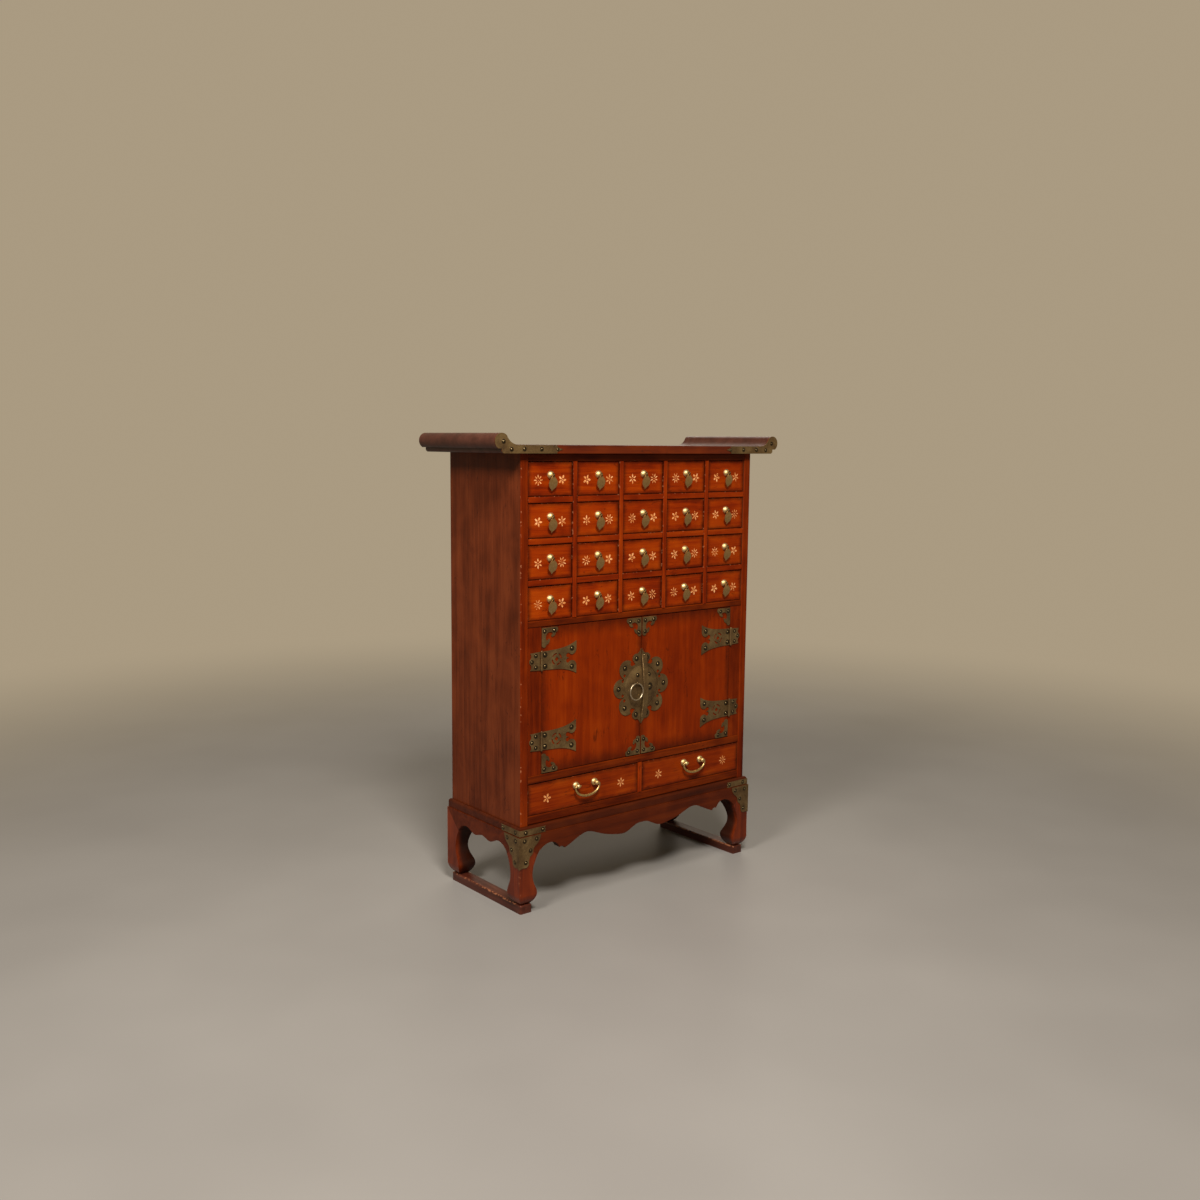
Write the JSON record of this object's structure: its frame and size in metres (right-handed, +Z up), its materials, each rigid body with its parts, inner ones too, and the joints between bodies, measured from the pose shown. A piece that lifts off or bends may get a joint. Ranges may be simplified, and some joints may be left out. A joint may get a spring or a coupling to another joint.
{
  "type": "apothecary chest",
  "caption": "Upright east asian apothecary chest with rows of small drawers, a brass-mounted two-door cupboard and lower drawers on a scalloped stand.",
  "frame": {"origin": "on the floor under the middle of the chest's overall box", "axes": "+Z up, -Y towards the viewer in front of the doors, +X to that viewer's right"},
  "size_m": [0.757, 0.2732, 0.948],
  "materials": {
    "red_wood": "semi-gloss lacquer over stained wood, worn dark at the edges",
    "dark_wood": "satin lacquer over dark stained wood",
    "aged_brass": "dull aged sheet brass",
    "bright_brass": "polished brass with dark recesses"
  },
  "bodies": {
    "chest": {"side_panels": "dark_wood", "back_panel": "dark_wood", "carcass_boards": "red_wood", "drawer_dividers": "red_wood", "door_jambs": "red_wood", "scroll_top": "dark_wood", "stand_legs": "red_wood", "stand_aprons": "red_wood", "floor_runners": "dark_wood", "corner_mounts": "aged_brass", "hinge_frame_leaves": "aged_brass"},
    "body_drawer_r1_c1": {"drawer_r1_c1": "red_wood"},
    "body_drop_pull_r1_c1": {"drop_pull_r1_c1": "bright_brass"},
    "body_drawer_r1_c2": {"drawer_r1_c2": "red_wood"},
    "body_drop_pull_r1_c2": {"drop_pull_r1_c2": "bright_brass"},
    "body_drawer_r1_c3": {"drawer_r1_c3": "red_wood"},
    "body_drop_pull_r1_c3": {"drop_pull_r1_c3": "bright_brass"},
    "body_drawer_r1_c4": {"drawer_r1_c4": "red_wood"},
    "body_drop_pull_r1_c4": {"drop_pull_r1_c4": "bright_brass"},
    "body_drawer_r1_c5": {"drawer_r1_c5": "red_wood"},
    "body_drop_pull_r1_c5": {"drop_pull_r1_c5": "bright_brass"},
    "body_drawer_r2_c1": {"drawer_r2_c1": "red_wood"},
    "body_drop_pull_r2_c1": {"drop_pull_r2_c1": "bright_brass"},
    "body_drawer_r2_c2": {"drawer_r2_c2": "red_wood"},
    "body_drop_pull_r2_c2": {"drop_pull_r2_c2": "bright_brass"},
    "body_drawer_r2_c3": {"drawer_r2_c3": "red_wood"},
    "body_drop_pull_r2_c3": {"drop_pull_r2_c3": "bright_brass"},
    "body_drawer_r2_c4": {"drawer_r2_c4": "red_wood"},
    "body_drop_pull_r2_c4": {"drop_pull_r2_c4": "bright_brass"},
    "body_drawer_r2_c5": {"drawer_r2_c5": "red_wood"},
    "body_drop_pull_r2_c5": {"drop_pull_r2_c5": "bright_brass"},
    "body_drawer_r3_c1": {"drawer_r3_c1": "red_wood"},
    "body_drop_pull_r3_c1": {"drop_pull_r3_c1": "bright_brass"},
    "body_drawer_r3_c2": {"drawer_r3_c2": "red_wood"},
    "body_drop_pull_r3_c2": {"drop_pull_r3_c2": "bright_brass"},
    "body_drawer_r3_c3": {"drawer_r3_c3": "red_wood"},
    "body_drop_pull_r3_c3": {"drop_pull_r3_c3": "bright_brass"},
    "body_drawer_r3_c4": {"drawer_r3_c4": "red_wood"},
    "body_drop_pull_r3_c4": {"drop_pull_r3_c4": "bright_brass"},
    "body_drawer_r3_c5": {"drawer_r3_c5": "red_wood"},
    "body_drop_pull_r3_c5": {"drop_pull_r3_c5": "bright_brass"},
    "body_drawer_r4_c1": {"drawer_r4_c1": "red_wood"},
    "body_drop_pull_r4_c1": {"drop_pull_r4_c1": "bright_brass"},
    "body_drawer_r4_c2": {"drawer_r4_c2": "red_wood"},
    "body_drop_pull_r4_c2": {"drop_pull_r4_c2": "bright_brass"},
    "body_drawer_r4_c3": {"drawer_r4_c3": "red_wood"},
    "body_drop_pull_r4_c3": {"drop_pull_r4_c3": "bright_brass"},
    "body_drawer_r4_c4": {"drawer_r4_c4": "red_wood"},
    "body_drop_pull_r4_c4": {"drop_pull_r4_c4": "bright_brass"},
    "body_drawer_r4_c5": {"drawer_r4_c5": "red_wood"},
    "body_drop_pull_r4_c5": {"drop_pull_r4_c5": "bright_brass"},
    "body_lower_drawer_left": {"lower_drawer_left": "red_wood"},
    "body_bail_handle_left": {"bail_handle_left": "bright_brass"},
    "body_lower_drawer_right": {"lower_drawer_right": "red_wood"},
    "body_bail_handle_right": {"bail_handle_right": "bright_brass"},
    "body_door_left": {"door_left": "red_wood", "door_fittings_left": "aged_brass"},
    "body_door_right": {"door_right": "red_wood", "door_fittings_right": "aged_brass"},
    "body_ring_pull": {"ring_pull": "bright_brass"}
  },
  "joints": [
    {"name": "drawer_r1_c1_slide", "type": "slide", "parent": "chest", "child": "body_drawer_r1_c1", "axis": [0, -1, 0], "range_m": [0, 0.18]},
    {"name": "drop_pull_r1_c1_swing", "type": "hinge", "parent": "body_drawer_r1_c1", "child": "body_drop_pull_r1_c1", "pos_m": [-0.238, -0.1289, 0.86845], "axis": [-1, 0, 0], "range_deg": [0, 100]},
    {"name": "drawer_r1_c2_slide", "type": "slide", "parent": "chest", "child": "body_drawer_r1_c2", "axis": [0, -1, 0], "range_m": [0, 0.18]},
    {"name": "drop_pull_r1_c2_swing", "type": "hinge", "parent": "body_drawer_r1_c2", "child": "body_drop_pull_r1_c2", "pos_m": [-0.119, -0.1289, 0.86845], "axis": [-1, 0, 0], "range_deg": [0, 100]},
    {"name": "drawer_r1_c3_slide", "type": "slide", "parent": "chest", "child": "body_drawer_r1_c3", "axis": [0, -1, 0], "range_m": [0, 0.18]},
    {"name": "drop_pull_r1_c3_swing", "type": "hinge", "parent": "body_drawer_r1_c3", "child": "body_drop_pull_r1_c3", "pos_m": [0, -0.1289, 0.86845], "axis": [-1, 0, 0], "range_deg": [0, 100]},
    {"name": "drawer_r1_c4_slide", "type": "slide", "parent": "chest", "child": "body_drawer_r1_c4", "axis": [0, -1, 0], "range_m": [0, 0.18]},
    {"name": "drop_pull_r1_c4_swing", "type": "hinge", "parent": "body_drawer_r1_c4", "child": "body_drop_pull_r1_c4", "pos_m": [0.119, -0.1289, 0.86845], "axis": [-1, 0, 0], "range_deg": [0, 100]},
    {"name": "drawer_r1_c5_slide", "type": "slide", "parent": "chest", "child": "body_drawer_r1_c5", "axis": [0, -1, 0], "range_m": [0, 0.18]},
    {"name": "drop_pull_r1_c5_swing", "type": "hinge", "parent": "body_drawer_r1_c5", "child": "body_drop_pull_r1_c5", "pos_m": [0.238, -0.1289, 0.86845], "axis": [-1, 0, 0], "range_deg": [0, 100]},
    {"name": "drawer_r2_c1_slide", "type": "slide", "parent": "chest", "child": "body_drawer_r2_c1", "axis": [0, -1, 0], "range_m": [0, 0.18]},
    {"name": "drop_pull_r2_c1_swing", "type": "hinge", "parent": "body_drawer_r2_c1", "child": "body_drop_pull_r2_c1", "pos_m": [-0.238, -0.1289, 0.78795], "axis": [-1, 0, 0], "range_deg": [0, 100]},
    {"name": "drawer_r2_c2_slide", "type": "slide", "parent": "chest", "child": "body_drawer_r2_c2", "axis": [0, -1, 0], "range_m": [0, 0.18]},
    {"name": "drop_pull_r2_c2_swing", "type": "hinge", "parent": "body_drawer_r2_c2", "child": "body_drop_pull_r2_c2", "pos_m": [-0.119, -0.1289, 0.78795], "axis": [-1, 0, 0], "range_deg": [0, 100]},
    {"name": "drawer_r2_c3_slide", "type": "slide", "parent": "chest", "child": "body_drawer_r2_c3", "axis": [0, -1, 0], "range_m": [0, 0.18]},
    {"name": "drop_pull_r2_c3_swing", "type": "hinge", "parent": "body_drawer_r2_c3", "child": "body_drop_pull_r2_c3", "pos_m": [0, -0.1289, 0.78795], "axis": [-1, 0, 0], "range_deg": [0, 100]},
    {"name": "drawer_r2_c4_slide", "type": "slide", "parent": "chest", "child": "body_drawer_r2_c4", "axis": [0, -1, 0], "range_m": [0, 0.18]},
    {"name": "drop_pull_r2_c4_swing", "type": "hinge", "parent": "body_drawer_r2_c4", "child": "body_drop_pull_r2_c4", "pos_m": [0.119, -0.1289, 0.78795], "axis": [-1, 0, 0], "range_deg": [0, 100]},
    {"name": "drawer_r2_c5_slide", "type": "slide", "parent": "chest", "child": "body_drawer_r2_c5", "axis": [0, -1, 0], "range_m": [0, 0.18]},
    {"name": "drop_pull_r2_c5_swing", "type": "hinge", "parent": "body_drawer_r2_c5", "child": "body_drop_pull_r2_c5", "pos_m": [0.238, -0.1289, 0.78795], "axis": [-1, 0, 0], "range_deg": [0, 100]},
    {"name": "drawer_r3_c1_slide", "type": "slide", "parent": "chest", "child": "body_drawer_r3_c1", "axis": [0, -1, 0], "range_m": [0, 0.18]},
    {"name": "drop_pull_r3_c1_swing", "type": "hinge", "parent": "body_drawer_r3_c1", "child": "body_drop_pull_r3_c1", "pos_m": [-0.238, -0.1289, 0.70745], "axis": [-1, 0, 0], "range_deg": [0, 100]},
    {"name": "drawer_r3_c2_slide", "type": "slide", "parent": "chest", "child": "body_drawer_r3_c2", "axis": [0, -1, 0], "range_m": [0, 0.18]},
    {"name": "drop_pull_r3_c2_swing", "type": "hinge", "parent": "body_drawer_r3_c2", "child": "body_drop_pull_r3_c2", "pos_m": [-0.119, -0.1289, 0.70745], "axis": [-1, 0, 0], "range_deg": [0, 100]},
    {"name": "drawer_r3_c3_slide", "type": "slide", "parent": "chest", "child": "body_drawer_r3_c3", "axis": [0, -1, 0], "range_m": [0, 0.18]},
    {"name": "drop_pull_r3_c3_swing", "type": "hinge", "parent": "body_drawer_r3_c3", "child": "body_drop_pull_r3_c3", "pos_m": [0, -0.1289, 0.70745], "axis": [-1, 0, 0], "range_deg": [0, 100]},
    {"name": "drawer_r3_c4_slide", "type": "slide", "parent": "chest", "child": "body_drawer_r3_c4", "axis": [0, -1, 0], "range_m": [0, 0.18]},
    {"name": "drop_pull_r3_c4_swing", "type": "hinge", "parent": "body_drawer_r3_c4", "child": "body_drop_pull_r3_c4", "pos_m": [0.119, -0.1289, 0.70745], "axis": [-1, 0, 0], "range_deg": [0, 100]},
    {"name": "drawer_r3_c5_slide", "type": "slide", "parent": "chest", "child": "body_drawer_r3_c5", "axis": [0, -1, 0], "range_m": [0, 0.18]},
    {"name": "drop_pull_r3_c5_swing", "type": "hinge", "parent": "body_drawer_r3_c5", "child": "body_drop_pull_r3_c5", "pos_m": [0.238, -0.1289, 0.70745], "axis": [-1, 0, 0], "range_deg": [0, 100]},
    {"name": "drawer_r4_c1_slide", "type": "slide", "parent": "chest", "child": "body_drawer_r4_c1", "axis": [0, -1, 0], "range_m": [0, 0.18]},
    {"name": "drop_pull_r4_c1_swing", "type": "hinge", "parent": "body_drawer_r4_c1", "child": "body_drop_pull_r4_c1", "pos_m": [-0.238, -0.1289, 0.62695], "axis": [-1, 0, 0], "range_deg": [0, 100]},
    {"name": "drawer_r4_c2_slide", "type": "slide", "parent": "chest", "child": "body_drawer_r4_c2", "axis": [0, -1, 0], "range_m": [0, 0.18]},
    {"name": "drop_pull_r4_c2_swing", "type": "hinge", "parent": "body_drawer_r4_c2", "child": "body_drop_pull_r4_c2", "pos_m": [-0.119, -0.1289, 0.62695], "axis": [-1, 0, 0], "range_deg": [0, 100]},
    {"name": "drawer_r4_c3_slide", "type": "slide", "parent": "chest", "child": "body_drawer_r4_c3", "axis": [0, -1, 0], "range_m": [0, 0.18]},
    {"name": "drop_pull_r4_c3_swing", "type": "hinge", "parent": "body_drawer_r4_c3", "child": "body_drop_pull_r4_c3", "pos_m": [0, -0.1289, 0.62695], "axis": [-1, 0, 0], "range_deg": [0, 100]},
    {"name": "drawer_r4_c4_slide", "type": "slide", "parent": "chest", "child": "body_drawer_r4_c4", "axis": [0, -1, 0], "range_m": [0, 0.18]},
    {"name": "drop_pull_r4_c4_swing", "type": "hinge", "parent": "body_drawer_r4_c4", "child": "body_drop_pull_r4_c4", "pos_m": [0.119, -0.1289, 0.62695], "axis": [-1, 0, 0], "range_deg": [0, 100]},
    {"name": "drawer_r4_c5_slide", "type": "slide", "parent": "chest", "child": "body_drawer_r4_c5", "axis": [0, -1, 0], "range_m": [0, 0.18]},
    {"name": "drop_pull_r4_c5_swing", "type": "hinge", "parent": "body_drawer_r4_c5", "child": "body_drop_pull_r4_c5", "pos_m": [0.238, -0.1289, 0.62695], "axis": [-1, 0, 0], "range_deg": [0, 100]},
    {"name": "lower_drawer_left_slide", "type": "slide", "parent": "chest", "child": "body_lower_drawer_left", "axis": [0, -1, 0], "range_m": [0, 0.18]},
    {"name": "bail_handle_left_swing", "type": "hinge", "parent": "body_lower_drawer_left", "child": "body_bail_handle_left", "pos_m": [-0.14875, -0.1299, 0.2405], "axis": [-1, 0, 0], "range_deg": [0, 90]},
    {"name": "lower_drawer_right_slide", "type": "slide", "parent": "chest", "child": "body_lower_drawer_right", "axis": [0, -1, 0], "range_m": [0, 0.18]},
    {"name": "bail_handle_right_swing", "type": "hinge", "parent": "body_lower_drawer_right", "child": "body_bail_handle_right", "pos_m": [0.14875, -0.1299, 0.2405], "axis": [-1, 0, 0], "range_deg": [0, 90]},
    {"name": "door_left_hinge", "type": "hinge", "parent": "chest", "child": "body_door_left", "pos_m": [-0.26, -0.1222, 0.4255], "axis": [0, 0, -1], "range_deg": [0, 160]},
    {"name": "door_right_hinge", "type": "hinge", "parent": "chest", "child": "body_door_right", "pos_m": [0.26, -0.1222, 0.4255], "axis": [0, 0, 1], "range_deg": [0, 160]},
    {"name": "ring_pull_swing", "type": "hinge", "parent": "body_door_left", "child": "body_ring_pull", "pos_m": [-0.0208, -0.1306, 0.4345], "axis": [-1, 0, 0], "range_deg": [0, 100]}
  ]
}
